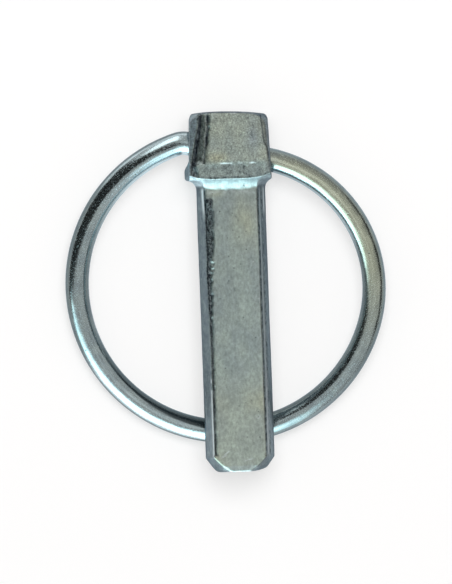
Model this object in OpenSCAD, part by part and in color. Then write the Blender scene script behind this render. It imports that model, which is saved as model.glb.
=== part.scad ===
// Lynch pin: a forged steel pin with a flattened head, and a sprung wire ring that swings
// in a hole through the head and closes against the back of the shank.
// Millimetres. The shank lies along Y with its head towards +Y, and +Z is the pin's front.
// The origin is on the shank's axis, at the shoulder under the head.

/* [Shank] */
// Diameter of the round shank
shank_d = 10; // [8:0.5:13]
// Thickness of the shank across its front and back flats
flat_t = 6.7; // [5:0.1:7.6]
// Diameter of the flat end of the tip
tip_d = 7; // [4:0.1:7.8]
// Length of the tip's conical chamfer
tip_len = 2.1; // [0.5:0.1:4]
// How far the tip reaches past the outside of the closed ring
tip_past_ring = 3.93; // [0:0.01:20]
// Radius of the fillet between the shank and the shoulder
shoulder_r = 1.3; // [0.4:0.1:1.6]

/* [Head] */
// Height of the head above the shoulder
head_h = 10.05; // [8:0.05:16]
// How far each side of the head stands out from the shank at the shoulder
shoulder_step = 1; // [0.4:0.1:3]
// How far the head's round corners stand out past its sides, at the shoulder
corner_out = 1.45; // [0:0.05:2]
// Draft of the round corners, in degrees
corner_draft = 4.8; // [0:0.2:6]
// Draft of each side of the head, in degrees
side_draft = 2; // [0:0.5:4]
// Radius of the head's top edge
top_r = 2.4; // [0.5:0.1:4]
// Radius of the head's slightly domed top
dome_r = 45; // [20:1:200]
// How far the head's face stands proud of the shank's flat at the ridge
face_step = 1.4; // [0.8:0.05:2]
// Height of the ridge across the face, above the shoulder
ridge_y = 2.4; // [1.6:0.1:6]
// Height of the step at the ridge
ridge_step = 0.12; // [0.05:0.01:0.4]
// Angle at which the face falls back above the ridge, in degrees
face_lean = 2; // [0:0.5:6]
// Angle at which the collar falls back below the ridge, in degrees
collar_lean = 3; // [0:0.5:8]
// Height of the collar's lower edge above the shoulder, in the middle of the face
collar_y = 0.4; // [0.1:0.05:1]
// Radius of the bow in the collar's lower edge
bow_r = 26; // [14:0.5:60]
// Radius of the hollow between the collar and the shank's flat
hollow_r = 2.4; // [1.6:0.1:4]
// Distance from the shank's axis to the bevel down the left of the front face
bevel_x = 3.1; // [2:0.1:4]
// Angle of that bevel, in degrees
bevel_angle = 18; // [5:1:40]
// How far the forging lug stands out from the head's left side
lug_out = 0.6; // [0.2:0.1:1.5]
// Height of the forging lug
lug_h = 2.6; // [1:0.1:3]
// Thickness of the forging lug, front to back
lug_t = 4.4; // [1:0.2:6]
// Radius of the forging lug's corners
lug_r = 0.45; // [0.1:0.05:0.5]

/* [Ring] */
// Diameter of the ring's wire
wire_d = 3.4; // [2:0.1:4]
// Inside diameter of the ring's main arc
ring_inside = 39.5; // [36:0.1:60]
// Height of the ring's hole above the shoulder, on the shank's axis
eye_y = 4.07; // [3.5:0.05:6]
// Slope of the ring's hole, down towards the right, in degrees
eye_slope = 13.2; // [0:0.1:20]
// Radius of the wire's centreline in the bend outside each eye
bend_r = 2.8; // [2.5:0.1:6]
// Angle that the left bend turns through, in degrees
left_bend = 30.1; // [20:0.1:40]
// Angle that the right bend turns through, in degrees
right_bend = 2.6; // [0.5:0.1:8]

/* [Fits] */
// Clearance between the wire and its hole, all round
eye_clear = 0.05; // [0.01:0.01:0.1]
// Distance from each eye's mouth to the start of the bend outside it
bend_clear = 0.2; // [0.1:0.05:1]
// Gap between the closed ring and the back of the shank
rest_clear = 0.05; // [0.02:0.01:0.3]
// Gap between the two ends of the wire inside the head
end_gap = 1; // [0.2:0.1:3]

/* [Hidden] */
$fn = 64;
beyond = 5;                                     // how far a cutter runs past what it cuts
lap = 0.01;                                     // how much thicker every second stretch of wire is
lap_length = 0.1;                               // how far the others run into it

shank_r = shank_d / 2;
flat_z = flat_t / 2;
wire_r = wire_d / 2;
side_x = shank_r + shoulder_step;               // half the width across the sides, at the shoulder
head_r = side_x + corner_out;
face_z = flat_z + face_step;
top_y = head_h - top_r;                         // height of the centre that the top edge is rounded about
top_centre = [head_r - top_y * tan(corner_draft) - top_r / cos(corner_draft), top_y];

// The hole's mouths lie where its slanted axis crosses the drafted sides
mouth_x = side_x - eye_y * tan(side_draft);
left_end = mouth_x / (cos(eye_slope) + tan(side_draft) * sin(eye_slope)) + bend_clear;
right_end = mouth_x / (cos(eye_slope) - tan(side_draft) * sin(eye_slope)) + bend_clear;

// The ring in its own plane: X runs along the hole's axis and -Y points away from the head.
// A short bend outside each eye leads into the main arc. On the right it does so by way of
// a tighter arc, whose radius is the one that touches both its neighbours.
ring_r = ring_inside / 2 + wire_r;
left_centre = [-left_end, -bend_r];
right_centre = [right_end, -bend_r];
ring_centre = left_centre + (ring_r - bend_r) * [sin(left_bend), -cos(left_bend)];
right_away = [sin(right_bend), cos(right_bend)];
to_right = right_centre - ring_centre;
extra_r = (to_right * to_right - pow(ring_r - bend_r, 2)) / (2 * (to_right * right_away - ring_r + bend_r));
side_r = bend_r + extra_r;
side_centre = right_centre - extra_r * right_away;
side_from = atan2(side_centre[1] - ring_centre[1], side_centre[0] - ring_centre[0]);

// Closed, the ring's plane is tilted just enough for its far arc to pass behind the shank's
// back flat. It comes closest at the flat's right edge, because the hole slopes.
flat_x = sqrt(pow(shank_r, 2) - pow(flat_z, 2));
centre_x = ring_centre[0] * cos(eye_slope) + ring_centre[1] * sin(eye_slope);
near_angle = eye_slope + asin((flat_x - centre_x) / ring_r);
near_reach = ring_r * cos(near_angle) - ring_centre[1];
rest_tilt = asin((flat_z + wire_r + rest_clear) / near_reach);

// The shank is long enough to reach past the closed ring
centre_y = eye_y - ring_centre[0] * sin(eye_slope) + ring_centre[1] * cos(rest_tilt) * cos(eye_slope);
shank_len = ring_r + wire_r - centre_y + tip_past_ring;

// Places what follows on the hole's axis, with X along it
module on_eye_axis() {
    translate([0, eye_y, 0]) rotate([0, 0, -eye_slope]) children();
}

// Half of the section that the blank is turned to: X is the radius and Y runs along the shank
module blank_section() {
    polygon([[0, -shank_len], [tip_d / 2, -shank_len], [shank_r, tip_len - shank_len],
             [shank_r, 1], [0, 1]]);
    difference() {
        translate([shank_r, -shoulder_r]) square([shoulder_r, 2 * shoulder_r]);
        translate([shank_r + shoulder_r, -shoulder_r]) circle(shoulder_r);
    }
    intersection() {
        union() {
            polygon([[0, 0], [head_r, 0], top_centre + (top_r - lap) * [cos(corner_draft), sin(corner_draft)],
                     top_centre + [0, top_r - lap], [0, head_h - lap]]);
            translate(top_centre) circle(top_r);
        }
        translate([0, head_h - dome_r]) circle(dome_r, $fn = 360);
    }
}

module blank() {
    rotate([-90, 0, 0]) rotate_extrude() blank_section();
}

// What comes off to leave the right side of the head drafted and flat
module side_cut() {
    translate([side_x, 0, 0]) rotate([0, 0, side_draft])
        translate([0, -beyond, -head_r - beyond]) cube([beyond, head_h + 2 * beyond, 2 * (head_r + beyond)]);
}

// What comes off in front of the head's face, ridge and collar: X is the length, Y the height
module face_section() {
    high_y = head_h + beyond;
    low_y = -beyond;
    polygon([
        [low_y, face_z - ridge_step - (ridge_y - low_y) * tan(collar_lean)],
        [ridge_y - ridge_step, face_z - ridge_step * (1 + tan(collar_lean))],
        [ridge_y, face_z],
        [high_y, face_z - (high_y - ridge_y) * tan(face_lean)],
        [high_y, face_z + head_r + beyond],
        [low_y, face_z + head_r + beyond]
    ]);
}

module face_cut() {
    rotate([90, 0, 90]) translate([0, 0, -head_r - beyond])
        linear_extrude(2 * (head_r + beyond)) face_section();
}

// What comes off over the shank's flat, as far as the hollow under the bowed collar
module flat_cut() {
    reach = bow_r + collar_y + shank_len + beyond;
    translate([0, collar_y + bow_r, 0]) rotate_extrude($fn = 256) {
        difference() {
            translate([bow_r, flat_z]) square([reach - bow_r, head_r + beyond]);
            translate([bow_r, flat_z]) square([hollow_r, hollow_r]);
        }
        intersection() {
            translate([bow_r, flat_z]) square([hollow_r, hollow_r]);
            translate([bow_r + hollow_r, flat_z + hollow_r]) circle(hollow_r);
        }
    }
}

// What comes off for the bevel down the left of the face, above the ridge
module bevel_cut() {
    translate([-bevel_x, ridge_y, face_z]) rotate([-face_lean, 0, 0]) rotate([0, -bevel_angle, 0])
        translate([-2 * head_r, 0, 0]) cube([2 * head_r, head_h + beyond, beyond]);
}

// The lug of metal squeezed out at the left of the shoulder
module lug() {
    depth = lug_out + beyond / 2;
    translate([-side_x - lug_out, 0, -lug_t / 2]) linear_extrude(lug_t) {
        translate([lug_r, 0]) square([depth - lug_r, lug_h]);
        translate([0, lug_r]) square([depth, lug_h - 2 * lug_r]);
        for (y = [lug_r, lug_h - lug_r]) translate([lug_r, y]) circle(lug_r);
    }
}

module pin() color([0.56, 0.61, 0.60]) {
    difference() {
        union() {
            difference() {
                blank();
                side_cut();
                mirror([1, 0, 0]) side_cut();
            }
            lug();
        }
        for (back = [0, 1]) mirror([0, 0, back]) {
            face_cut();
            flat_cut();
        }
        bevel_cut();
        on_eye_axis() rotate([0, 90, 0]) cylinder(h = 2 * (head_r + beyond), r = wire_r + eye_clear, center = true);
    }
}

// A stretch of wire bent round a centre, from one angle anticlockwise to another. An outer
// stretch is a hair thicker, and an inner one runs a little way into the outer ones beside it.
module bent_wire(centre, r, from, to, outer) {
    run_in = outer ? 0 : atan(lap_length / r);
    translate(centre) rotate([0, 0, from - run_in]) rotate_extrude(angle = to - from + 2 * run_in, $fn = 256)
        translate([r, 0]) circle(wire_r + (outer ? lap : 0), $fn = 48);
}

// A straight end of the wire, from the gap in the middle of the head out to its bend
module straight_end(length, outer) {
    run_in = outer ? 0 : lap_length;
    translate([end_gap / 2, 0, 0]) rotate([0, 90, 0])
        cylinder(h = length - end_gap / 2 + run_in, r = wire_r + (outer ? lap : 0), $fn = 48);
}

module ring() color([0.60, 0.66, 0.67]) {
    on_eye_axis() rotate([rest_tilt, 0, 0]) {
        mirror([1, 0, 0]) straight_end(left_end, false);
        bent_wire(left_centre, bend_r, 90, 90 + left_bend, true);
        bent_wire(ring_centre, ring_r, 90 + left_bend, 360 + side_from, false);
        bent_wire(side_centre, side_r, side_from, 90 - right_bend, true);
        bent_wire(right_centre, bend_r, 90 - right_bend, 90, false);
        straight_end(right_end, true);
    }
}

pin();
ring();
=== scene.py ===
# %% [markdown]
# # A lynch pin
# This lesson dresses a lynch pin: the forged steel pin and the sprung wire ring that keeps
# it in its hole. The solid model gives every size and place, and Blender adds what makes it
# look like the real thing: soft forged edges, pits and scratches in the metal, the zinc
# plating, and a small studio around it.

# %% Load the frame
import itertools
import math
import bmesh
import bpy
import numpy as np
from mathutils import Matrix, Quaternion, Vector


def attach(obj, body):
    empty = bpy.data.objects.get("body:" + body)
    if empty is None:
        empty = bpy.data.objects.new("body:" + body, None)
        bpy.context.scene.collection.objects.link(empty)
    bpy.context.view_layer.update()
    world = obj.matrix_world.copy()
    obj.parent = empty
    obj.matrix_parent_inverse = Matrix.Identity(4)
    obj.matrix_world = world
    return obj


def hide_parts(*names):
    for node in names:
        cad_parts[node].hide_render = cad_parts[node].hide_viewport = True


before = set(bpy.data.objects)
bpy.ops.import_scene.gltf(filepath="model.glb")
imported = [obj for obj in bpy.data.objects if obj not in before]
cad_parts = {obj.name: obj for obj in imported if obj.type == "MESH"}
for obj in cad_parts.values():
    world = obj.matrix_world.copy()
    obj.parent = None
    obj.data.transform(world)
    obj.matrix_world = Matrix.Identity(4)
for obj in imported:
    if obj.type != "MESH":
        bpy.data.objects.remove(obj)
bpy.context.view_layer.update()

MM = 0.001

# %% [markdown]
# ## Small helpers
# A node tree is easier to read when one line makes a node, sets it and wires it. `add`
# takes the node's settings and its inputs: a number or colour is typed in, and a socket of
# another node is linked.

# %% Wiring nodes
def add(tree, kind, settings=None, inputs=None):
    """Makes one node: settings are its properties, inputs are values or sockets to link."""
    made = tree.nodes.new(kind)
    for name, value in (settings or {}).items():
        setattr(made, name, value)
    for name, value in (inputs or {}).items():
        if isinstance(value, bpy.types.NodeSocket):
            tree.links.new(value, made.inputs[name])
        else:
            made.inputs[name].default_value = value
    return made


def new_tree(name, kind, takes, gives):
    """An empty node group with named inputs (name, socket type, value) and outputs."""
    tree = bpy.data.node_groups.new(name, kind)
    for label, socket, value in takes:
        made = tree.interface.new_socket(label, in_out="INPUT", socket_type=socket)
        if value is not None:
            made.default_value = value
    for label, socket in gives:
        tree.interface.new_socket(label, in_out="OUTPUT", socket_type=socket)
    return tree, tree.nodes.new("NodeGroupInput"), tree.nodes.new("NodeGroupOutput")


def maths(tree, operation, first, second=0.0, clamp=False):
    """One sum on single values, as an output socket."""
    settings = {"operation": operation, "use_clamp": clamp}
    return add(tree, "ShaderNodeMath", settings, {0: first, 1: second}).outputs[0]


def ramp(tree, value, low, high, to_low=0.0, to_high=1.0):
    """Takes a value from one range to another and stops at its ends."""
    inputs = {"Value": value, "From Min": low, "From Max": high,
              "To Min": to_low, "To Max": to_high}
    return add(tree, "ShaderNodeMapRange", {"clamp": True}, inputs).outputs["Result"]


def blend(tree, amount, first, second, how="MIX"):
    """Mixes two colours."""
    settings = {"data_type": "RGBA", "blend_type": how}
    return add(tree, "ShaderNodeMix", settings, {0: amount, 6: first, 7: second}).outputs[2]


print("helpers: add, maths, ramp and blend")

# %% [markdown]
# ## Noise and soft limits
# Forged metal is never quite even. `unevenness` gives smooth noise between 0 and 1 at any
# point, worked out from whole numbers alone, so that the same dents come back every run.
# Beside it stand the three shapes that every mark in this lesson is made of: a soft step,
# a soft stretch with two ends, and a soft hill.

# %% Repeatable noise
def unevenness(points, size, seed):
    """Smooth noise from 0 to 1. size is the width of one lump along x, y and z."""
    places = points / np.asarray(size, float)
    cell = np.floor(places).astype(np.int64)
    part = places - cell
    part = part * part * (3 - 2 * part)
    total = np.zeros(len(points))
    for corner in itertools.product((0, 1), repeat=3):
        key = cell + corner
        mixed = key[:, 0] * 73856093 ^ key[:, 1] * 19349663 ^ key[:, 2] * 83492791 ^ seed * 6271
        mixed = (mixed ^ (mixed >> 13)) * 1274126177
        value = ((mixed ^ (mixed >> 16)) & 0xFFFF) / 0xFFFF
        total += value * np.prod(np.where(corner, part, 1 - part), axis=1)
    return total


print("noise at one point:", unevenness(np.zeros((1, 3)), (1, 1, 1), 1).round(3))

# %% [markdown]
# Marks on worked steel seldom have a hard edge. Three soft curves say where a mark starts,
# lasts and stops, because a hard cut in the numbers would show as a stair in the mesh.

# %% Soft limits
def ease(value, start, end):
    """0 before start, 1 after end, and smooth between them. start may be above end."""
    part = np.clip((value - start) / (end - start), 0, 1)
    return part * part * (3 - 2 * part)


def span(value, start, full, last, end):
    """0 outside start and end, 1 from full to last, and smooth in between."""
    return ease(value, start, full) * ease(value, end, last)


def hill(value, middle, width):
    """1 at the middle, and falling off smoothly on both sides."""
    return np.exp(-((value - middle) / width) ** 2)


print("ease at 0, a half and 1:", [float(ease(part, 0, 1)) for part in (0, 0.5, 1)])

# %% [markdown]
# ## The zinc's own texture
# Zinc plating shows three things close up: streaks left by rolling or drawing the steel,
# a fine crystal grain, and small dark specks where the plating missed. All of them are on
# both pieces, so each is a shader group that is built once. A group only puts out
# masks and heights; the shader itself stays in each material. Streaks and grain are two
# noises of different size, the first one stretched.

# %% Streaks and grain
def in_millimetres(tree, place):
    """A place in metres, scaled so that the sizes in a group are millimetres."""
    settings, inputs = {"operation": "SCALE"}, {0: place, "Scale": 1 / MM}
    return add(tree, "ShaderNodeVectorMath", settings, inputs).outputs[0]


def make_grain():
    """The group that puts out streaks, grain and the height of both."""
    takes = [("Place", "NodeSocketVector", None), ("Stretch", "NodeSocketVector", (1, 1, 1)),
             ("Streak size", "NodeSocketFloat", 0.4), ("Grain size", "NodeSocketFloat", 0.15)]
    gives = [(label, "NodeSocketFloat") for label in ("Streaks", "Grain", "Height")]
    tree, taken, given = new_tree("zinc grain", "ShaderNodeTree", takes, gives)
    place = in_millimetres(tree, taken.outputs["Place"])
    drawn = add(tree, "ShaderNodeVectorMath", {"operation": "MULTIPLY"},
                {0: place, 1: taken.outputs["Stretch"]}).outputs[0]
    streak_scale = maths(tree, "DIVIDE", 1.0, taken.outputs["Streak size"])
    grain_scale = maths(tree, "DIVIDE", 1.0, taken.outputs["Grain size"])
    streaks = add(tree, "ShaderNodeTexNoise", None, {
        "Vector": drawn, "Scale": streak_scale, "Detail": 3.0, "Roughness": 0.6}).outputs[0]
    grain = add(tree, "ShaderNodeTexNoise", None, {
        "Vector": place, "Scale": grain_scale, "Detail": 2.0, "Roughness": 0.7}).outputs[0]
    height = maths(tree, "ADD", maths(tree, "MULTIPLY", streaks, 0.6),
                   maths(tree, "MULTIPLY", grain, 0.4))
    for label, socket in (("Streaks", streaks), ("Grain", grain), ("Height", height)):
        tree.links.new(socket, given.inputs[label])
    return tree


grain_group = make_grain()
print("group:", grain_group.name)

# %% [markdown]
# ## Specks
# Where dirt sat on the steel, the zinc left a small dark speck. Specks could be drawn one
# by one, but a cell pattern scatters them for free: each cell has one middle, a lot drawn
# for the cell says whether it has a speck, and a second lot says how large it is.

# %% Specks
def make_specks():
    """The group that scatters small round specks."""
    takes = [("Place", "NodeSocketVector", None), ("Spacing", "NodeSocketFloat", 1.0),
             ("Size", "NodeSocketFloat", 0.12), ("Share", "NodeSocketFloat", 0.5)]
    gives = [("Specks", "NodeSocketFloat")]
    tree, taken, given = new_tree("zinc specks", "ShaderNodeTree", takes, gives)
    place = in_millimetres(tree, taken.outputs["Place"])
    scale = maths(tree, "DIVIDE", 1.0, taken.outputs["Spacing"])
    cells = add(tree, "ShaderNodeTexVoronoi", None,
                {"Vector": place, "Scale": scale, "Randomness": 1.0})
    distance = maths(tree, "MULTIPLY", cells.outputs["Distance"], taken.outputs["Spacing"])
    lot = add(tree, "ShaderNodeSeparateColor", None, {0: cells.outputs["Color"]})
    chosen = maths(tree, "LESS_THAN", lot.outputs[0], taken.outputs["Share"])
    size = maths(tree, "MULTIPLY", taken.outputs["Size"],
                 ramp(tree, lot.outputs[1], 0.0, 1.0, 0.5, 1.4))
    inside = maths(tree, "SUBTRACT", 1.0, maths(tree, "DIVIDE", distance, size), clamp=True)
    speck = maths(tree, "MULTIPLY", ramp(tree, inside, 0.0, 0.5), chosen)
    tree.links.new(speck, given.inputs["Specks"])
    return tree


specks_group = make_specks()
print("group:", specks_group.name)

# %% [markdown]
# ## What both finishes share
# Both pieces are zinc on steel, so both materials are fully metallic and start the same way. `use`
# places a group in a material, `mask` reads an attribute that the mesh carries, and the third
# helper paints shade into the colour where the metal turns away from the eye. The last one stays
# outside the groups, because it reads Layer Weight.

# %% Parts of a material
WHITE = (1, 1, 1, 1)


def blank_material(name):
    """A new material that is all metal, with its tree and its shader."""
    made = bpy.data.materials.new(name)
    made.use_nodes = True
    tree = made.node_tree
    shader = tree.nodes["Principled BSDF"]
    shader.inputs["Metallic"].default_value = 1.0
    return made, tree, shader


def use(tree, group, inputs):
    """Places a group in a tree and gives its outputs."""
    return add(tree, "ShaderNodeGroup", {"node_tree": group}, inputs).outputs


def mask(tree, name):
    """The value that the mesh carries under this name."""
    return add(tree, "ShaderNodeAttribute", {"attribute_name": name}).outputs["Fac"]


def rim_shade(tree, start, end, dark, rim=1.0):
    """A factor of painted shade that falls from 1 to dark where the surface turns away, and at the
    very rim once more, by the share rim."""
    facing = add(tree, "ShaderNodeLayerWeight", None, {"Blend": 0.5}).outputs["Facing"]
    turned_away = ramp(tree, facing, start, end, 1.0, dark)
    return maths(tree, "MULTIPLY", turned_away, ramp(tree, facing, 0.5, 0.85, 1.0, rim))


def toned(tree, colour, factor):
    """A colour made lighter or darker by a factor."""
    tone = add(tree, "ShaderNodeCombineColor", None, {0: factor, 1: factor, 2: factor})
    return blend(tree, 1.0, colour, tone.outputs[0], "MULTIPLY")


def rough_and_raised(tree, shader, rough, height, strength):
    """Wires the roughness and the bump, 0.03 mm deep, into a shader."""
    tree.links.new(rough, shader.inputs["Roughness"])
    inputs = {"Strength": strength, "Distance": 0.03 * MM, "Height": height}
    bump = add(tree, "ShaderNodeBump", None, inputs)
    tree.links.new(bump.outputs[0], shader.inputs["Normal"])


print("parts of a material: ready")

# %% [markdown]
# ## The finish of the forged pin
# The flats were pressed between dies and came out a dull grey-green under the zinc. The round sides
# are darker and bluer. Down the left of the front the steel was torn and stayed rough and nearly
# black. A few steep places get a painted highlight, some edges and bands get painted shade, and
# some marks get painted glints. The mesh carries these regions as attributes, and the material
# mixes its colours by them.

# %% Colours of the forged pin
FLAT_ZINC = (0.415, 0.49, 0.485, 1), (0.51, 0.60, 0.555, 1)
SIDE_ZINC = (0.37, 0.43, 0.48, 1), (0.44, 0.52, 0.54, 1)
# The second colour below is a painted highlight.
WARM_ZINC, HIGHLIGHT_ZINC = (0.60, 0.63, 0.48, 1), (0.68, 0.82, 0.88, 1)
# The worn-steel colour below also paints glints and highlights.
WEAR_AND_GLINT_STEEL, BARE_SCALE = (0.86, 0.93, 0.94, 1), (0.010, 0.013, 0.020, 1)
# The scale colours below also paint the shade lines and the shaded band.
SCALE = (0.03, 0.038, 0.048, 1), (0.32, 0.385, 0.40, 1)


def pin_colour(tree, fine, broad, specks):
    """The colour of the plating, with its streaks, its grain, its regions, and its painted
    highlights, glints and shade.
    """
    cool = blend(tree, ramp(tree, broad["Streaks"], 0.35, 0.65), *FLAT_ZINC)
    flat = blend(tree, mask(tree, "warm"), cool, WARM_ZINC)
    side = blend(tree, ramp(tree, broad["Grain"], 0.35, 0.65), *SIDE_ZINC)
    colour = blend(tree, mask(tree, "pressed"), side, flat)
    shade = ramp(tree, fine["Height"], 0.36, 0.64, 0.78, 1.22)
    shade = maths(tree, "MULTIPLY", shade, ramp(tree, broad["Grain"], 0.3, 0.7, 0.93, 1.07))
    shade = maths(tree, "MULTIPLY", shade, ramp(tree, specks, 0.0, 1.0, 1.0, 0.55))
    grit = ramp(tree, fine["Grain"], 0.35, 0.65, -0.28, 0.24)
    grit = maths(tree, "MULTIPLY", mask(tree, "gritty"), grit)
    shade = maths(tree, "MULTIPLY", shade, maths(tree, "ADD", 1.0, grit))
    # Painted highlight: a brighter, bluer colour where this mask is set.
    painted_highlight = mask(tree, "painted_highlight")
    highlight_colour = toned(tree, HIGHLIGHT_ZINC, ramp(tree, shade, 0.6, 1.4, 0.75, 1.25))
    colour = blend(tree, painted_highlight, toned(tree, colour, shade), highlight_colour)
    # Painted shade at the rims, where the metal turns away from the eye; none under the painted
    # highlight.
    edge = blend(tree, painted_highlight, toned(tree, WHITE, rim_shade(tree, 0.13, 0.27, 0.50)), WHITE)
    colour = blend(tree, 1.0, colour, edge, "MULTIPLY")
    # The worn-steel colour marks real edge wear and also paints glints and highlights.
    colour = blend(tree, mask(tree, "wear_and_glints"), colour, WEAR_AND_GLINT_STEEL)
    # The scale colours darken the torn strip and dirt, and also paint the shade lines and the
    # shaded band.
    scale = blend(tree, ramp(tree, fine["Height"], 0.42, 0.60), *SCALE)
    scale = blend(tree, mask(tree, "bare"), scale, BARE_SCALE)
    return blend(tree, mask(tree, "torn_dirt_and_shade"), colour, scale)


print("flats: from", FLAT_ZINC[0][:3], "to", FLAT_ZINC[1][:3])

# %% [markdown]
# The fine grain changes the roughness and the height as well as the colour, because real
# plating glitters by how each crystal lies. The pressed flats are a little smoother than the
# round sides, and the specks are small pits. Zinc mirrors duller at a flat angle than
# chrome does, so its edge tint is dark.

# %% Material: forged zinc
def forged_zinc():
    """The finish of the pin: plated and pressed, with its tear and its wear, and with painted
    highlights, glints and shade.
    """
    made, tree, shader = blank_material("forged_zinc")
    place = add(tree, "ShaderNodeTexCoord").outputs["Object"]
    fine = use(tree, grain_group, {"Place": place, "Stretch": (1.0, 0.55, 1.0),
                                   "Streak size": 0.34, "Grain size": 0.20})
    broad = use(tree, grain_group, {"Place": place, "Stretch": (1.0, 0.5, 1.0),
                                    "Streak size": 2.6, "Grain size": 0.9})
    specks = use(tree, specks_group, {"Place": place, "Spacing": 0.9,
                                      "Size": 0.12, "Share": 0.32})["Specks"]
    tree.links.new(pin_colour(tree, fine, broad, specks), shader.inputs["Base Color"])
    smoother = maths(tree, "MULTIPLY", mask(tree, "pressed"), -0.02)
    rough = maths(tree, "ADD", ramp(tree, fine["Grain"], 0.3, 0.7, 0.34, 0.50), smoother)
    height = maths(tree, "SUBTRACT", fine["Height"], maths(tree, "MULTIPLY", specks, 0.8))
    rough_and_raised(tree, shader, rough, height, 0.8)
    shader.inputs["Specular Tint"].default_value = (0.34, 0.39, 0.44, 1)
    return made


pin_finish = forged_zinc()
print("material:", pin_finish.name)

# %% [markdown]
# ## The finish of the ring
# The ring is drawn spring wire, so it is smoother and brighter than the pin. Its marks run
# along the wire. A point's place along and across the wire is stored on the mesh, and the
# grain is stretched along that, which an object coordinate couldn't do on a bent wire.

# %% Material: zinc wire
WIRE_ZINC = (0.43, 0.53, 0.56, 1), (0.52, 0.63, 0.64, 1)
# A yellow tint that is also paler as a painted reflection, and a painted highlight colour.
WIRE_WARM, WIRE_HIGHLIGHT = (0.64, 0.70, 0.56, 1), (0.64, 0.78, 0.83, 1)
# A painted shade colour.
WIRE_SHADE = (0.10, 0.13, 0.14, 1)


def wire_zinc():
    """The finish of the ring: drawn and plated, with painted highlights and painted shade in
    places.
    """
    made, tree, shader = blank_material("wire_zinc")
    along = add(tree, "ShaderNodeAttribute", {"attribute_name": "wire_place"})
    place = along.outputs["Vector"]
    fine = use(tree, grain_group, {"Place": place, "Stretch": (0.10, 1.0, 1.0),
                                   "Streak size": 0.25, "Grain size": 0.16})
    broad = use(tree, grain_group, {"Place": place, "Stretch": (0.25, 1.0, 1.0),
                                    "Streak size": 1.6, "Grain size": 2.2})
    specks = use(tree, specks_group, {"Place": place, "Spacing": 1.1,
                                      "Size": 0.13, "Share": 0.35})["Specks"]
    # Painted shade and painted highlight, as stored on the wire's points.
    painted_shade, painted_highlight = mask(tree, "painted_shade"), mask(tree, "painted_highlight")
    colour = blend(tree, ramp(tree, broad["Grain"], 0.38, 0.62), *WIRE_ZINC)
    # These regions paint a yellower, paler band, the painted highlights and the painted shade into
    # the colour.
    regions = (mask(tree, "warm"), WIRE_WARM), (painted_highlight, WIRE_HIGHLIGHT), (painted_shade, WIRE_SHADE)
    for region, finish in regions:
        colour = blend(tree, region, colour, finish)
    shade = ramp(tree, fine["Height"], 0.35, 0.65, 0.76, 1.18)
    shade = maths(tree, "MULTIPLY", shade, ramp(tree, specks, 0.0, 1.0, 1.0, 0.35))
    # Painted shade at the rims, left out where the painted highlight and painted shade already are.
    kept = maths(tree, "MAXIMUM", painted_highlight, painted_shade)
    edge = toned(tree, WHITE, rim_shade(tree, 0.16, 0.36, 0.36, 0.45))
    colour = blend(tree, 1.0, toned(tree, colour, shade),
                   blend(tree, kept, edge, WHITE), "MULTIPLY")
    tree.links.new(colour, shader.inputs["Base Color"])
    rough = maths(tree, "ADD", ramp(tree, fine["Grain"], 0.3, 0.7, 0.12, 0.22),
                  ramp(tree, fine["Grain"], 0.60, 0.68, 0.0, 0.3))
    height = maths(tree, "ADD", fine["Height"], maths(tree, "MULTIPLY", broad["Streaks"], 1.5))
    rough_and_raised(tree, shader, rough, maths(tree, "SUBTRACT", height, specks), 0.7)
    shader.inputs["Specular Tint"].default_value = (0.75, 0.85, 0.92, 1)
    return made


ring_finish = wire_zinc()
print("material:", ring_finish.name)

# %% [markdown]
# ## The ring's path
# The wire enters the head from both sides along one slanted hole. Outside each mouth it
# bends into a nearly round hoop: a short bend and the main arc on the left, and on the
# right a slightly tighter arc that closes the gap. The path below is worked out in the
# ring's own plane from the same sizes as the solid model, then placed on the hole's axis.

# %% Sizes of the wire
WIRE_R = 1.7
EYE_Y, EYE_SLOPE = 4.07, math.radians(13.2)
BEND_R, LEFT_BEND, RIGHT_BEND = 2.8, math.radians(30.1), math.radians(2.6)
RING_R = 39.5 / 2 + WIRE_R
SIDE_X, SIDE_DRAFT = 6.0, math.radians(2)
BEND_CLEAR, END_GAP = 0.2, 1.0
FLAT_Z, REST_CLEAR = 3.35, 0.05
SHANK_R = 5.0


def hoop_arcs():
    """The arcs as (centre, radius, from, to), and how far each straight end reaches."""
    mouth = SIDE_X - EYE_Y * math.tan(SIDE_DRAFT)
    sine, cosine, draft = math.sin(EYE_SLOPE), math.cos(EYE_SLOPE), math.tan(SIDE_DRAFT)
    left_end = mouth / (cosine + draft * sine) + BEND_CLEAR
    right_end = mouth / (cosine - draft * sine) + BEND_CLEAR
    left, right = np.array([-left_end, -BEND_R]), np.array([right_end, -BEND_R])
    hoop = left + (RING_R - BEND_R) * np.array([math.sin(LEFT_BEND), -math.cos(LEFT_BEND)])
    away = np.array([math.sin(RIGHT_BEND), math.cos(RIGHT_BEND)])
    gap = right - hoop
    extra = (gap @ gap - (RING_R - BEND_R) ** 2) / (2 * (gap @ away - RING_R + BEND_R))
    side = right - extra * away
    turn = math.atan2(side[1] - hoop[1], side[0] - hoop[0])
    quarter, whole = math.pi / 2, 2 * math.pi
    arcs = [(left, BEND_R, quarter, quarter + LEFT_BEND),
            (hoop, RING_R, quarter + LEFT_BEND, whole + turn),
            (side, BEND_R + extra, turn, quarter - RIGHT_BEND),
            (right, BEND_R, quarter - RIGHT_BEND, quarter)]
    return arcs, left_end, hoop


print("hoop: middle at", hoop_arcs()[2].round(2), "mm in its own plane")

# %% [markdown]
# The ring rests with its far arc just clear of the shank's back flat, so the plane it was
# drawn in is tilted about the hole's axis until it does.

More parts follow.
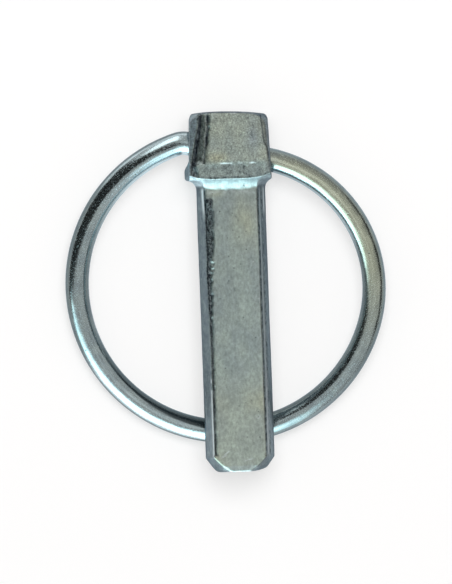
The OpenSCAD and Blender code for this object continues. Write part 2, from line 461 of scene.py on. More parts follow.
# %% The centreline of the wire
def ring_path(spacing=0.2):
    """Points along the wire's centreline in millimetres, from one hidden end to the other."""
    arcs, left_end, hoop = hoop_arcs()
    flat_x = math.sqrt(SHANK_R ** 2 - FLAT_Z ** 2)
    centre_x = hoop[0] * math.cos(EYE_SLOPE) + hoop[1] * math.sin(EYE_SLOPE)
    crossing = EYE_SLOPE + math.asin((flat_x - centre_x) / RING_R)
    reach = RING_R * math.cos(crossing) - hoop[1]
    tilt = math.asin((FLAT_Z + WIRE_R + REST_CLEAR) / reach)
    flat = [(-END_GAP / 2, 0.0), (-left_end, 0.0)]
    for centre, radius, start, end in arcs:
        steps = max(2, round(abs(end - start) * radius / spacing))
        for angle in np.linspace(start, end, steps + 1)[1:]:
            flat.append((centre[0] + radius * math.cos(angle),
                         centre[1] + radius * math.sin(angle)))
    flat.append((END_GAP / 2, 0.0))
    across, along = np.array(flat).T
    along, lift = along * math.cos(tilt), along * math.sin(tilt)
    cosine, sine = math.cos(-EYE_SLOPE), math.sin(-EYE_SLOPE)
    return np.column_stack([across * cosine - along * sine,
                            across * sine + along * cosine + EYE_Y, lift])


path = ring_path()
steps = np.linalg.norm(np.diff(path, axis=0), axis=1)
print("wire:", len(path), "points,", round(float(steps.sum()), 1), "mm long")

# %% [markdown]
# ## Sweeping the wire
# A wire follows a path, which is what Geometry Nodes do best. The tree resamples the path
# evenly, sweeps a circle along it, remembers each point's place along and around the
# wire, and lets the surface wander by a few hundredths of a millimetre as drawn and bent
# wire does. The result is turned into a plain mesh and the modifier removed.

# %% Values stored on points
def remember(tree, shape, name, value, kind="FLOAT_VECTOR"):
    """Stores a value on each point under a name."""
    settings = {"data_type": kind, "domain": "POINT"}
    inputs = {"Geometry": shape, "Name": name, "Value": value}
    return add(tree, "GeometryNodeStoreNamedAttribute", settings, inputs).outputs[0]


def recall(tree, name, kind="FLOAT_VECTOR"):
    """Reads a stored value back."""
    node = add(tree, "GeometryNodeInputNamedAttribute", {"data_type": kind}, {"Name": name})
    return node.outputs[0]


print("stored values: by remember and recall")

# %% [markdown]
# The sweep itself is one chain: even points on the path, a circle carried along them, and
# a small push inwards by a noise, so that the wire is never thicker than its size.

# %% Geometry Nodes: the wire
def wire_tree():
    """The tree that sweeps a round wire along a path."""
    takes = [("Path", "NodeSocketGeometry", None), ("Wire radius", "NodeSocketFloat", 0.001),
             ("Spacing", "NodeSocketFloat", 0.001), ("Sides", "NodeSocketInt", 32),
             ("Wander", "NodeSocketFloat", 0.0), ("Seed", "NodeSocketFloat", 1.0),
             ("Finish", "NodeSocketMaterial", None)]
    gives = [("Wire", "NodeSocketGeometry")]
    tree, taken, given = new_tree("swept wire", "GeometryNodeTree", takes, gives)
    even = add(tree, "GeometryNodeResampleCurve", {"mode": "LENGTH"},
               {"Curve": taken.outputs["Path"], "Length": taken.outputs["Spacing"]})
    run = add(tree, "GeometryNodeSplineParameter").outputs["Length"]
    measured = remember(tree, even.outputs[0], "run", run, "FLOAT")
    circle = add(tree, "GeometryNodeCurvePrimitiveCircle", {"mode": "RADIUS"},
                 {"Resolution": taken.outputs["Sides"], "Radius": taken.outputs["Wire radius"]})
    spot = add(tree, "GeometryNodeInputPosition").outputs[0]
    marked = remember(tree, circle.outputs[0], "round", spot)
    swept = add(tree, "GeometryNodeCurveToMesh", None,
                {"Curve": measured, "Profile Curve": marked, "Fill Caps": True})
    round_it = add(tree, "ShaderNodeSeparateXYZ", None, {0: recall(tree, "round")})
    place = add(tree, "ShaderNodeCombineXYZ", None, {
        0: recall(tree, "run", "FLOAT"), 1: round_it.outputs[0], 2: round_it.outputs[1]})
    kept = remember(tree, swept.outputs[0], "wire_place", place.outputs[0])
    lumps = add(tree, "ShaderNodeTexNoise", {"noise_dimensions": "4D"}, {
        "Vector": place.outputs[0], "W": taken.outputs["Seed"], "Scale": 420.0, "Detail": 2.0})
    inward = maths(tree, "MULTIPLY", lumps.outputs[0], -1.0)
    depth = maths(tree, "MULTIPLY", inward, taken.outputs["Wander"])
    outward = add(tree, "GeometryNodeInputNormal").outputs[0]
    shift = add(tree, "ShaderNodeVectorMath", {"operation": "SCALE"},
                {0: outward, "Scale": depth})
    uneven = add(tree, "GeometryNodeSetPosition", None,
                 {"Geometry": kept, "Offset": shift.outputs[0]})
    smooth = add(tree, "GeometryNodeSetShadeSmooth", None, {"Geometry": uneven.outputs[0]})
    real = add(tree, "GeometryNodeRealizeInstances", None, {"Geometry": smooth.outputs[0]})
    coated = add(tree, "GeometryNodeSetMaterial", None,
                 {"Geometry": real.outputs[0], "Material": taken.outputs["Finish"]})
    tree.links.new(coated.outputs[0], given.inputs["Wire"])
    return tree


sweeping = wire_tree()
print("tree:", sweeping.name, "with", len(sweeping.nodes), "nodes")

# %% [markdown]
# The tree runs once, on a curve made for it, and its result is kept as a plain mesh. A live
# modifier would do too, but the marks that follow are stored point by point.

# %% Running the tree
def sweep(points, settings):
    """Runs the tree on a path in millimetres and returns a plain mesh."""
    curve = bpy.data.curves.new("wire path", "CURVE")
    curve.dimensions = "3D"
    spline = curve.splines.new("POLY")
    spline.points.add(len(points) - 1)
    spline.points.foreach_set("co", np.column_stack([points * MM, np.ones(len(points))]).ravel())
    worker = bpy.data.objects.new("wire path", curve)
    bpy.context.collection.objects.link(worker)
    modifier = worker.modifiers.new("wire", "NODES")
    modifier.node_group = sweeping
    for item in modifier.node_group.interface.items_tree:
        if item.in_out == "INPUT" and item.name in settings:
            modifier[item.identifier] = settings[item.name]
    evaluated = worker.evaluated_get(bpy.context.evaluated_depsgraph_get())
    mesh = bpy.data.meshes.new_from_object(evaluated, preserve_all_data_layers=True)
    bpy.data.objects.remove(worker)
    bpy.data.curves.remove(curve)
    return mesh


ring_mesh = sweep(path, {"Wire radius": WIRE_R * MM, "Spacing": 0.25 * MM, "Sides": 72,
                         "Wander": 0.03 * MM, "Seed": 3.0, "Finish": ring_finish})
print("ring:", len(ring_mesh.vertices), "points,", len(ring_mesh.polygons), "faces")

# %% [markdown]
# ## Where things are on the ring
# A plated ring isn't the same all round: some sides get a painted highlight, others painted shade,
# and near the head the wire is yellower and paler, partly a yellow tint and partly a painted
# reflection. To say where, each point gets two angles. `bearing` is its place along the hoop,
# anticlockwise from the right, and `lean` is how far the surface tips outwards from straight up, so
# inwards is negative.

# %% Angles on the ring
HOOP_MIDDLE = np.array([-0.6, -15.9, 0])


def points_of(mesh):
    """A mesh's points as rows of x, y and z."""
    places = np.empty(len(mesh.vertices) * 3)
    mesh.vertices.foreach_get("co", places)
    return places.reshape(-1, 3)


def unit(rows):
    """The same directions, each with a length of one."""
    return rows / np.linalg.norm(rows, axis=1)[:, None]


spots = points_of(ring_mesh) / MM
apart = spots[:, None, :2] - path[None, ::4, :2]
core = path[np.argmin((apart ** 2).sum(axis=2), axis=1) * 4]
bearing = np.degrees(np.arctan2(core[:, 1] - HOOP_MIDDLE[1], core[:, 0])) % 360
facing_out, hoop_out = unit(spots - core), unit((core - HOOP_MIDDLE) * [1, 1, 0])
lean = np.degrees(np.arctan2((facing_out * hoop_out).sum(axis=1), facing_out[:, 2]))
print("lean from", round(float(lean.min())), "to", round(float(lean.max())), "degrees")

# %% [markdown]
# ## Bands of painted highlight
# Each band of painted highlight is a stretch of lean times a stretch of bearing, both with soft
# ends, so a short table holds them all. None of them reaches the wire's outer rim, which has to
# stay dark to stand out from a pale table.

# %% Painted highlight bands on the ring
flecks = 0.75 + 0.5 * unevenness(spots, (0.8, 0.8, 0.8), 31)
# Each row is one band of painted highlight.
highlight_bands = (
    # share, lean (starts, full from, full to, ends), bearing (the same)
    (1.00, (8, 20, 52, 70), (196, 214, 268, 284)),
    (1.00, (-181, -180, -22, -12), (60, 100, 118, 172)),
    (0.75 * flecks, (16, 26, 48, 62), (60, 100, 130, 146)),
    (0.25, (20, 35, 55, 75), (268, 284, 300, 335)),
    (0.60, (-181, -180, -40, -25), (10, 30, 80, 95)))
painted_highlight = np.maximum.reduce([share * span(lean, *leans) * span(bearing, *bearings)
                              for share, leans, bearings in highlight_bands])
print("polished share:", round(float(painted_highlight.mean()), 3))

# %% [markdown]
# The painted shade follows the hoop less neatly. One part darkens an inner side, and its edge
# creeps round the wire, so its edge is read off a curve. The other darkens the outer side of a
# stretch near the head. There the bearing is counted from another start, because the stretch runs
# through zero degrees.

# %% Painted shade and yellow places on the ring
EDGE_BEARING = [180, 200, 215, 230, 245, 258, 270, 300, 360]
EDGE_LEAN = [-62, -45, -36, -26, -16, -5, 3, 0, -40]
# Painted shade on an inner side, with an edge that creeps round the wire.
shade_edge = np.interp(bearing, EDGE_BEARING, EDGE_LEAN)
inner_shade = ease(lean, shade_edge + 2, shade_edge - 3) * span(bearing, 185, 205, 266, 280)
around = (bearing + 60) % 360
# Painted shade on the outer side near the head, partly in patches.
shade_patches = ease(unevenness(spots, (0.5, 1.6, 0.6), 37), 0.28, 0.5)
outer_shade = 0.24 * span(around, 45, 75, 135, 160) * ease(lean, 10, 48)
outer_shade = outer_shade + 0.3 * shade_patches * span(around, 30, 60, 135, 160) * ease(lean, 5, 25)
painted_shade = np.maximum(inner_shade, outer_shade)
# Yellower and paler near the head: partly a yellow tint, partly a painted pale reflection.
yellow = span(around, 20, 80, 120, 150) * span(lean, -55, -20, 20, 70) * (0.8 + 0.3 * flecks)
print("dull share:", round(float(painted_shade.mean()), 3))

# %% [markdown]
# ## The ring as a piece
# A finished mesh rides on the body that swings, stands for the solid ring and takes its material
# slot. The bands of painted highlight and shade are stored on its points, where the material reads
# them, and are left out under the wire.

# %% The ring as a piece
def store_masks(mesh, masks):
    """Keeps each mask on the mesh as an attribute."""
    for name, values in masks.items():
        stored = mesh.attributes.new(name, "FLOAT", "POINT")
        stored.data.foreach_set("value", np.clip(values, 0, 1).astype(np.float32))


def shown(name, mesh):
    """An object for a mesh, linked to the scene."""
    made = bpy.data.objects.new(name, mesh)
    bpy.context.collection.objects.link(made)
    return made


def piece(name, mesh, body, node):
    """A finished mesh becomes an object that rides on a body and stands for a CAD node."""
    made = shown(name, mesh)
    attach(made, body)
    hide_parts(node)
    return made


on_top = ease(np.abs(lean), 120, 85)
store_masks(ring_mesh, {"painted_shade": painted_shade * on_top, "painted_highlight": painted_highlight * on_top, "warm": yellow})
ring_mesh.name = "sprung_ring"
ring_piece = piece("sprung_ring", ring_mesh, "ring", "ring")
print("piece:", ring_piece.name)

# %% [markdown]
# ## The forged pin
# The solid model's surfaces are perfectly flat and its edges perfectly sharp. A forging's
# aren't. A fine, even skin over the same shape is the easiest to work: the copy of the
# solid is merged, turned into small even faces with a voxel remesh, and relaxed a little
# so that every edge is slightly round. It is worked in millimetres because the remesh
# dislikes very small numbers.

# %% An even skin over the solid
VOXEL = 0.155


def even_skin(source, voxel):
    """A copy of a CAD node in millimetres, remeshed into small even faces."""
    work = bmesh.new()
    work.from_mesh(source.data)
    bmesh.ops.remove_doubles(work, verts=work.verts, dist=1e-6)
    bmesh.ops.scale(work, vec=(1 / MM,) * 3, verts=work.verts)
    mesh = bpy.data.meshes.new("skin")
    work.to_mesh(mesh)
    work.free()
    mesh.materials.clear()
    worker = shown("skin", mesh)
    remesh = worker.modifiers.new("even", "REMESH")
    remesh.mode, remesh.voxel_size, remesh.use_smooth_shade = "VOXEL", voxel, True
    evaluated = worker.evaluated_get(bpy.context.evaluated_depsgraph_get())
    even = bpy.data.meshes.new_from_object(evaluated)
    bpy.data.objects.remove(worker)
    return even


pin_mesh = even_skin(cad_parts["pin"], VOXEL)
skin = points_of(pin_mesh)
count = len(skin)
edges = np.empty(len(pin_mesh.edges) * 2, int)
pin_mesh.edges.foreach_get("vertices", edges)
edges = edges.reshape(-1, 2)
print("pin skin:", count, "points,", len(pin_mesh.polygons), "faces")

# %% [markdown]
# ## Working the skin
# Two things are needed again and again: moving each point towards its neighbours, which
# rounds an edge as wear does, and finding which way the surface faces at each point.

# %% Relaxing and measuring the skin
def neighbours_mean(values):
    """The mean of each point's neighbours along the edges."""
    total = np.zeros_like(values)
    number = np.bincount(edges.ravel(), minlength=count)
    for axis in range(values.shape[1]):
        total[:, axis] = (np.bincount(edges[:, 0], values[edges[:, 1], axis], count)
                          + np.bincount(edges[:, 1], values[edges[:, 0], axis], count))
    return total / number[:, None]


def relax(points, rounds, share):
    """Moves each point outside the ring's hole towards its neighbours, by its share."""
    share = np.where(in_hole, 0.0, share)[:, None]
    for _ in range(rounds):
        points = points + share * (neighbours_mean(points) - points)
    return points


def facing(points):
    """The outward direction at each point."""
    pin_mesh.vertices.foreach_set("co", points.ravel())
    pin_mesh.update()
    directions = np.empty(count * 3)
    pin_mesh.vertex_normals.foreach_get("vector", directions)
    return directions.reshape(-1, 3)


HOLE_R = 1.75
across = np.array([math.cos(EYE_SLOPE), -math.sin(EYE_SLOPE), 0])
from_eye = skin - np.array([0, EYE_Y, 0])
hole_distance = np.linalg.norm(from_eye - np.outer(from_eye @ across, across), axis=1)
in_hole = (hole_distance < HOLE_R + 0.12) & (np.abs(skin[:, 0]) < SIDE_X + 0.8)
print("points round the hole, which stay:", int(in_hole.sum()))

# %% [markdown]
# ## Rounding the edges
# Forging leaves some edges rounder than others. All of them are eased a little, except the
# crisp rim above the hollow. The head's upper end was hammered rounder, the ridge
# across the head is soft, and the corner where the chamfer meets the tip's flat end is
# well worn, apart from its part that runs up to the front flat.

# %% Rounding the edges
RIDGE_Y, COLLAR_Y, BOW_R = 2.4, 0.12, 26.0
x, y, z = skin.T
bow = x ** 2 / (2 * BOW_R)
crisp = hill(y, COLLAR_Y + bow, 0.3) * (z > 3)
soft = relax(skin, 3, 0.5 - 0.4 * crisp)
soft = relax(soft, 10, 0.5 * ease(soft[:, 1], 3.2, 4.5))
soft = relax(soft, 18, 0.5 * hill(soft[:, 1], RIDGE_Y, 0.45) * (soft[:, 2] > 3))
x, y, z = soft.T
tip_corner = hill(np.hypot(x, z), 3.5, 0.8) * ease(y, -41.1, -41.7)
at_flat = ease(z, 2.5, 2.9) * ease(np.abs(x), 2.0, 1.5)
soft = relax(soft, 40, 0.5 * tip_corner * (1 - at_flat))
moved = np.linalg.norm(soft - skin, axis=1).max()
print("edges rounded by up to", round(float(moved), 2), "mm")

# %% [markdown]
# ## Where the forging isn't square
# The dies closed slightly askew. The head's two upper corners are round in plan, its top
# falls to the right, and the tip's right corner is fuller. All of this only takes metal
# off, so the pin stays inside the solid model.

# %% Corners of the head and the tip
CORNER_X, CORNER_Y, CORNER_R = 4.85, 9.0, 0.75
TOP_FALL = 0.036
x, y, z = soft.T.copy()
y = y + 0.2 * hill(x, 3.2, 0.8) * ease(y, -41.2, -41.9)
reach_x, reach_y = np.maximum(np.abs(x) - CORNER_X, 0), np.maximum(y - CORNER_Y, 0)
reach = np.hypot(reach_x, reach_y)
past_corner = (reach > CORNER_R) & (reach_x > 0) & (reach_y > 0)
pull = np.where(past_corner, CORNER_R / np.maximum(reach, 0.01), 1.0)
x = np.where(reach_x > 0, np.sign(x) * (CORNER_X + reach_x * pull), x)
y = np.where(reach_y > 0, CORNER_Y + reach_y * pull, y)
y = y - TOP_FALL * np.maximum(x + 3.2, 0) * ease(y, 8.0, 9.8)
print("points on the round corners:", int(past_corner.sum()))

# %% [markdown]
# ## The lug on the shoulder
# Where the dies met, some steel was squeezed out on the left and left a small lug. It fades
# into the head's side towards the top, and its visible face is cut by a steep slanting
# plane, so whatever stands outside that plane is moved back onto it.

# %% The lug on the shoulder
LUG_FACE_X, LUG_FACE_Z = -0.965, 0.263
fading = 1 - 0.9 * ease(y, 1.4, 2.7)
x = np.where(x < -SIDE_X, -SIDE_X - (-SIDE_X - x) * fading, x)
over = np.maximum(LUG_FACE_X * (x + SIDE_X) + LUG_FACE_Z * (z - 2.2), 0)
over = over * ease(x, -SIDE_X - 0.02, -SIDE_X - 0.12) * (y < 3) * (z > 0)
x, z = x - LUG_FACE_X * over, z - LUG_FACE_Z * over
print("lug: cut by up to", round(float(over.max()), 2), "mm")

# %% [markdown]
# ## The hollow under the head
# Between the collar and the flat runs a hollow that a round tool pressed in. Its upper rim
# is bowed, and straightens again towards the sides. Its depth is set straight
# from the place below the rim, because a fine remesh alone leaves it uneven.

# %% The hollow under the head
HOLLOW_RISE, HOLLOW_FALL = 1.16, 1.6
bow = x ** 2 / (2 * BOW_R)
rim_y = COLLAR_Y + bow
hollow_y = 1.60 + 0.30 * unevenness(soft, (0.7, 9, 9), 22)
down = np.clip((rim_y - y) / hollow_y, 0, 1)
hollow_z = FLAT_Z + HOLLOW_RISE * (1 - down) ** HOLLOW_FALL
in_hollow = (y < rim_y) & (y > rim_y - hollow_y) & (z > 3.2)
share = ease(np.abs(x), 4.4, 3.7) * ease(down, 0.0, 0.08)
z = np.where(in_hollow, z + (hollow_z - z) * share, z)
straighter = np.maximum(bow - 0.58 * (np.abs(x) / 5.5) ** 5, 0) * (np.abs(x) < 5.5)
y = y - straighter * hill(y, rim_y, 0.9) * (z > 3)
rim_y = rim_y - straighter
soft = np.column_stack([x, y, z])
soft_normals = facing(soft)
print("hollow: between", round(float(hollow_y.min()), 2), "and", round(float(hollow_y.max()), 2),
      "mm long")

# %% [markdown]
# ## Regions of the pin
# The finish and the relief both depend on where a point is: on a pressed flat, in the torn
# strip down the left of the front, or on an edge that has worn bright. Each region is a
# mask from 0 to 1, worked out from the point's place. The flats come first: they are what
# faces straight forwards or backwards, less one rubbed place on the head.

# %% The pressed flats
x, y, z = soft.T
front = ease(soft_normals[:, 2], 0.55, 0.8) * (z > 0)
back = ease(-soft_normals[:, 2], 0.55, 0.8) * (z < 0)
rubbed_place = hill(x, 3.4, 0.8) * hill(y, 6.0, 1.6)
pressed = np.maximum(front, back) * (1 - 0.7 * rubbed_place)
print("pressed share:", round(float(pressed.mean()), 3))

# %% [markdown]
# ## The torn strip
# Down the left of the front the steel was torn, from the top of the head almost to the tip.
# Its two edges are read off curves, made ragged with noise, and the strip is what
# lies between them. It stops short where the hollow crosses it.

# %% The torn strip
STRIP_ENDS = (-39.8, -39.4, 9.3, 9.9)
inner_head = np.interp(y, [2.9, 4.7, 6.7, 9.3], [-3.6, -3.2, -2.85, -2.85])
inner_shank = np.interp(-y, [2, 8, 11, 14, 20, 24], [-2.65, -2.62, -2.85, -3.12, -3.22, -3.24])
outer_head = np.interp(y, [1.2, 2.9, 4.7, 5.8, 7.2, 9.3], [-5.7, -5.55, -5.2, -4.95, -4.62, -4.3])
outer_shank = np.interp(-y, [2, 14, 20, 24], [-3.95, -3.92, -3.72, -3.66])
inner = np.where(y > RIDGE_Y, inner_head, np.where(y > COLLAR_Y, -4.7, inner_shank))
outer = np.where(y > COLLAR_Y, outer_head, outer_shank)
ragged = 0.35 * (unevenness(soft, (0.8, 1.1, 0.8), 5) - 0.5)
ragged = ragged + 0.3 * (unevenness(soft, (0.3, 0.5, 0.3), 6) - 0.5)
ragged = ragged * np.interp(-y, [10, 24], [1.0, 0.35])
in_strip = ease(x + ragged, inner + 0.1, inner - 0.2)
in_strip *= ease(x - 0.4 * ragged, outer - 0.15, outer + 0.1) * (z > 1.5)
in_strip *= span(y, *STRIP_ENDS)
in_strip *= np.where((y < rim_y) & (y > -3.0), ease(y, -2.3, -2.8), 1)
print("strip share:", round(float(in_strip.mean()), 3))

# %% [markdown]
# On the head the tear left two dark seams with a smoother grey between them, and high on the shank
# its right half is less deep. So the strip is kept twice: `recess` says how deep it is pushed in,
# and a second mask says how dark it is. That second mask later also takes the dirt smears and the
# painted shade.

# %% Two seams on the head
left_seam = np.interp(y, [2.4, 3.9, 6.0, 8.9], [-5.20, -4.94, -4.43, -4.15])
right_seam = np.interp(y, [2.6, 4.6, 6.0, 7.5, 8.9], [-3.62, -3.33, -3.28, -2.90, -3.00])
between = ease(x, left_seam + 0.15, left_seam + 0.4)
between *= ease(x, right_seam - 0.12, right_seam - 0.35) * (y > RIDGE_Y)
right_half = ease(x, outer + 0.3, outer + 0.55) * ease(y, -13, -10) * (y < rim_y)
recess = in_strip * (1 - 0.9 * between) * (1 - 0.4 * right_half)
torn_dirt_and_shade = in_strip * (1 - 0.42 * between) * (1 - 0.05 * right_half)
beside = ease(x, outer + 0.05, outer - 0.2) * (z > 0)
pressed = pressed * (1 - beside)
print("recess share:", round(float(recess.mean()), 3))

# %% [markdown]
# Where the tear is deepest no zinc took, and the bare scale is nearly black: along the
# seams, along the strip's left edge, and all over its narrow lower part. A short dark line
# leads up into the hollow.

# %% Bare scale
top_line = hill(x, -3.80, 0.16) * span(y, -3.4, -2.8, -1.2, -0.8) * (z > 0)
torn_dirt_and_shade = np.maximum(torn_dirt_and_shade, top_line)
seams = np.maximum(hill(x, left_seam, 0.20), hill(x, right_seam, 0.18)) * (y > RIDGE_Y)
bare = np.maximum.reduce([hill(x, outer + 0.12, 0.13), seams, ease(-y, 18, 24)])
bare = torn_dirt_and_shade * bare * (0.4 + 0.6 * unevenness(soft, (0.5, 1.2, 0.5), 15))
print("bare share:", round(float(bare.mean()), 3))

# %% [markdown]
# ## Painted shade, dark lines and smears
# Shade is painted in as a dark line just above the collar's rim and as a darker band below the
# ridge. A dark line also runs down the head's right edge, and the head's top edge is darker. The
# single smears are listed with their place, width, length and darkness, because nothing but a list
# says where dirt happens to be.

# %% Dark lines on the head
# Painted shade: a dark line just above the collar's rim.
rim_shade_line = hill(y, rim_y + 0.19, 0.14) * ease(np.abs(x), 5.6, 5.0) * (z > 3.5)
rim_shade_line *= 0.35 + 0.65 * ease(unevenness(soft, (0.5, 3, 3), 14), 0.3, 0.6)
right_edge = np.interp(y, [2.5, 4.3, 5.3, 8.95], [5.72, 5.5, 5.03, 4.65])
right_line = hill(x, right_edge, 0.12) * span(y, 2.3, 3.4, 9.0, 9.6) * (z > 0)
# Painted shade: a darker mottled band below the ridge.
ridge_band_shade = ease(unevenness(soft, (0.7, 0.9, 0.7), 18), 0.4, 0.75) * front
ridge_band_shade *= ease(y, RIDGE_Y + 0.1, RIDGE_Y - 0.2) * (y > rim_y)
top_edge = ease(y, 9.55, 9.8) * (0.35 + 0.5 * unevenness(soft, (0.9, 3, 3), 24)) * (z > 0)
torn_dirt_and_shade = np.maximum.reduce([torn_dirt_and_shade, rim_shade_line, 0.95 * right_line, 0.42 * ridge_band_shade, top_edge])
bare = np.maximum(bare, 0.8 * right_line)
print("dark share:", round(float(torn_dirt_and_shade.mean()), 3))

# %% [markdown]
# Each single smear is a soft oval spot. It could be painted on as a small mesh of its own,
# but dirt has no thickness, so it only darkens the points below it.

# %% Single smears
SMEARS = (  # x, y, width, length, darkness
    (2.03, 1.73, 0.15, 0.36, 0.90), (1.43, 1.03, 0.18, 0.24, 0.80), (-0.05, 2.1, 0.18, 0.16, 0.70),
    (-0.4, 0.90, 0.35, 0.20, 0.40), (3.33, 6.36, 0.16, 0.34, 0.85), (1.71, 6.33, 0.16, 0.20, 0.70),
    (2.79, 8.80, 0.17, 0.17, 0.70), (2.50, 9.20, 0.20, 0.16, 0.60), (-0.45, -4.4, 0.13, 0.55, 0.50),
    (0.90, -5.8, 0.15, 0.20, 0.55), (0.55, -5.3, 0.14, 0.16, 0.50), (0.10, -15.8, 0.14, 0.30, 0.35),
    (-3.45, 1.55, 0.60, 0.45, 0.35))
for smear_x, smear_y, wide, long, darkness in SMEARS:
    smear = hill(x, smear_x, wide) * hill(y, smear_y, long) * (z > 3)
    torn_dirt_and_shade, bare = np.maximum(torn_dirt_and_shade, darkness * smear), np.maximum(bare, 0.6 * smear)
print("smears:", len(SMEARS))

# %% [markdown]
# Two thin dark lines run down the right of the shank, where the flat meets the round side.
# They drift a little and fade in and out.

# %% Dark lines on the shank
LINE_ENDS = (-39.8, -39.0, -2.0, -1.0)
for line_x, darkness in ((3.92, 0.95), (4.42, 0.8)):
    drift = line_x + 0.14 * (unevenness(soft, (9, 3, 9), int(line_x * 10)) - 0.5)
    patchy = ease(unevenness(soft, (9, 2.2, 9), int(line_x * 30)), 0.15, 0.55)
    line = patchy * hill(x, drift, 0.09) * span(y, *LINE_ENDS) * (z > 0)
    torn_dirt_and_shade = np.maximum(torn_dirt_and_shade, darkness * line)
print("torn share of the skin:", round(float(torn_dirt_and_shade.mean()), 3))

# %% [markdown]
# ## Painted highlights and yellowed places
# Some slopes get a brighter, bluer colour as a painted highlight: the hollow, the lug's face, the
# round sides and the tip's end. The plating is yellower in soft clouds on the flats, and a coarser
# grit shows on the head only.

# %% Painted highlights on the pin
# Painted highlight in the hollow, where it faces down the pin towards the window.
hollow = ease(-soft_normals[:, 1], 0.25, 0.5) * span(y, -2.6, -1.8, 0.3, 1.0)
hollow *= np.interp(x, [-5.2, -4.4, -3.6, 3.6, 4.6], [0.8, 0.95, 0.4, 0.4, 0.3])
lug_face = ease(x, -5.6, -5.9) * span(y, -0.9, -0.3, 3.2, 4.2) * ease(z, -0.5, 1.5)
lug_face *= 0.6 + 0.4 * ease(unevenness(soft, (0.8, 1.0, 0.8), 23), 0.25, 0.6)
forward = ease(soft_normals[:, 2], 0.1, 0.3)
# Painted highlights: the hollow, the lug's face, the round sides and the tip's end.
painted_highlight = np.maximum.reduce([
    hollow, 0.45 * lug_face,
    0.34 * beside * ease(y, 2.4, 3.4) * forward,
    0.16 * beside * ease(y, -1.5, -3.0) * forward,
    0.20 * ease(x, 3.9, 4.3) * ease(y, -8, -24) * forward,
    0.30 * ease(y, -41.0, -41.2) * ease(np.abs(x), 2.9, 2.2) * (z > 0)])
gritty = ease(y, -0.2, 0.4)
print("polished share:", round(float(painted_highlight.mean()), 3))

# %% [markdown]
# Plating yellows in clouds with no outline, so these are broad soft hills, mottled by
# noise: three around the hollow, a thin veil on the head, and more of it towards the tip.

# %% Yellowed places on the pin
mottle = unevenness(soft, (1.2, 1.8, 1.2), 11)
lower_clouds = ease(unevenness(soft, (2, 4, 3), 12), 0.3, 0.7) * ease(np.abs(x + 0.2), 0.4, 1.8)
yellow = sum([
    (0.35 + 0.45 * mottle) * hill(x, 2.0, 1.9) * hill(y, -5.9, 3.6),
    0.50 * hill(x, -2.2, 1.2) * hill(y, -1.9, 0.5),
    0.60 * hill(x, -1.8, 1.8) * hill(y, 3.2, 0.7),
    (0.12 + 0.35 * mottle) * ease(y, 2.0, 3.0),
    0.50 * lower_clouds * ease(y, -22, -30),
    0.25 * ease(y, -25, -33)])
print("yellow share:", round(float(yellow.mean()), 3))

# %% [markdown]
# ## Relief
# Now the skin is pushed in where the real one is low. Bump in a material would give the
# shading but not the shape, so the marks are dents in the mesh. Everything goes inwards, so
# the piece stays inside the solid model's box. First come long shallow waves from forging,
# and the torn strip, which slopes down to the left and is full of pits.

# %% Waves and the torn strip
dents = 0.05 * unevenness(soft, (3.0, 7.0, 3.0), 1) + 0.02 * unevenness(soft, (0.9, 1.8, 0.9), 2)
dents = dents + 0.008 * unevenness(soft, (0.35, 0.6, 0.35), 3)
fall = np.clip(inner - x, 0, 1.6) * np.where(y > COLLAR_Y, 0.06, 0.10) * span(y, *STRIP_ENDS)
fall *= np.where((y < rim_y) & (y > -5.6), ease(y, -1.5, -5.5), 1) * (z > 1.5)
dents = dents + fall * ease(soft_normals[:, 2], 0.15, 0.5)
pits = 0.05 + 0.16 * unevenness(soft, (0.40, 0.7, 0.5), 7)
pits = pits + 0.08 * unevenness(soft, (0.2, 0.3, 0.3), 8)
pits = pits * ease(x, outer, outer + 0.35) * np.where(y < rim_y, ease(y, -2.4, -5.5), 1)
dents = dents + recess * pits
print("strip: up to", round(float(dents.max()), 2), "mm deep")

# %% [markdown]
# The grooves down the right of the shank wander a little from side to side. The craters are
# of two kinds: a few that have their own place, and many tiny ones scattered with a fixed
# seed, so that they fall on the same spots in every run.

# %% Grooves and craters
def pit(cx, cy, radius, depth):
    """A small round crater in the front, with a slightly raised rim."""
    distance = np.hypot(x - cx, y - cy) / radius
    return front * depth * (np.exp(-distance ** 2 * 1.5) - 0.35 * hill(distance, 1.5, 0.4))


for groove_x, groove_depth in ((3.45, 0.05), (3.85, 0.07), (4.2, 0.06)):
    wander = 0.25 * (unevenness(soft, (9, 5, 9), int(groove_x * 10)) - 0.5)
    groove = hill(x, groove_x + wander, 0.11) * (z > 1) * span(y, -40, -39, -3, -1.6)
    dents = dents + groove_depth * groove
CRATERS = (  # x, y, radius, depth
    (-3.01, -11.99, 0.30, 0.12), (-2.95, -12.85, 0.22, 0.10), (2.77, -34.08, 0.18, 0.12),
    (-2.2, -16.9, 0.2, 0.06), (1.9, -6.2, 0.2, 0.05), (0.6, -9.1, 0.16, 0.05),
    (0.9, -29.2, 0.15, 0.05))
for crater in CRATERS:
    dents = dents + pit(*crater)
random = np.random.default_rng(20)
TINY_CRATERS = 90
for _ in range(TINY_CRATERS):
    dents = dents + pit(random.uniform(-3.4, 3.6), random.uniform(-40, 9),
                        random.uniform(0.12, 0.2), random.uniform(0.01, 0.035))
print("craters:", len(CRATERS) + TINY_CRATERS)

# %% [markdown]
# Scratches are short straight cuts that fade at their ends. Three of those near the tip are fresh,
# and a glint is painted along them. The ridge across the head has been knocked flat in three
# places, which tips the skin there far enough to catch the light.

# %% Scratches and knocks
def scratch(x0, y0, x1, y1, width, depth):
    """A short straight cut in the front that fades at its ends."""
    length = math.hypot(x1 - x0, y1 - y0)
    ux, uy = (x1 - x0) / length, (y1 - y0) / length
    along = ((x - x0) * ux + (y - y0) * uy) / length
    aside = (x - x0) * uy - (y - y0) * ux
    return front * depth * hill(aside, 0, width) * span(along, -0.1, 0.15, 0.85, 1.1)


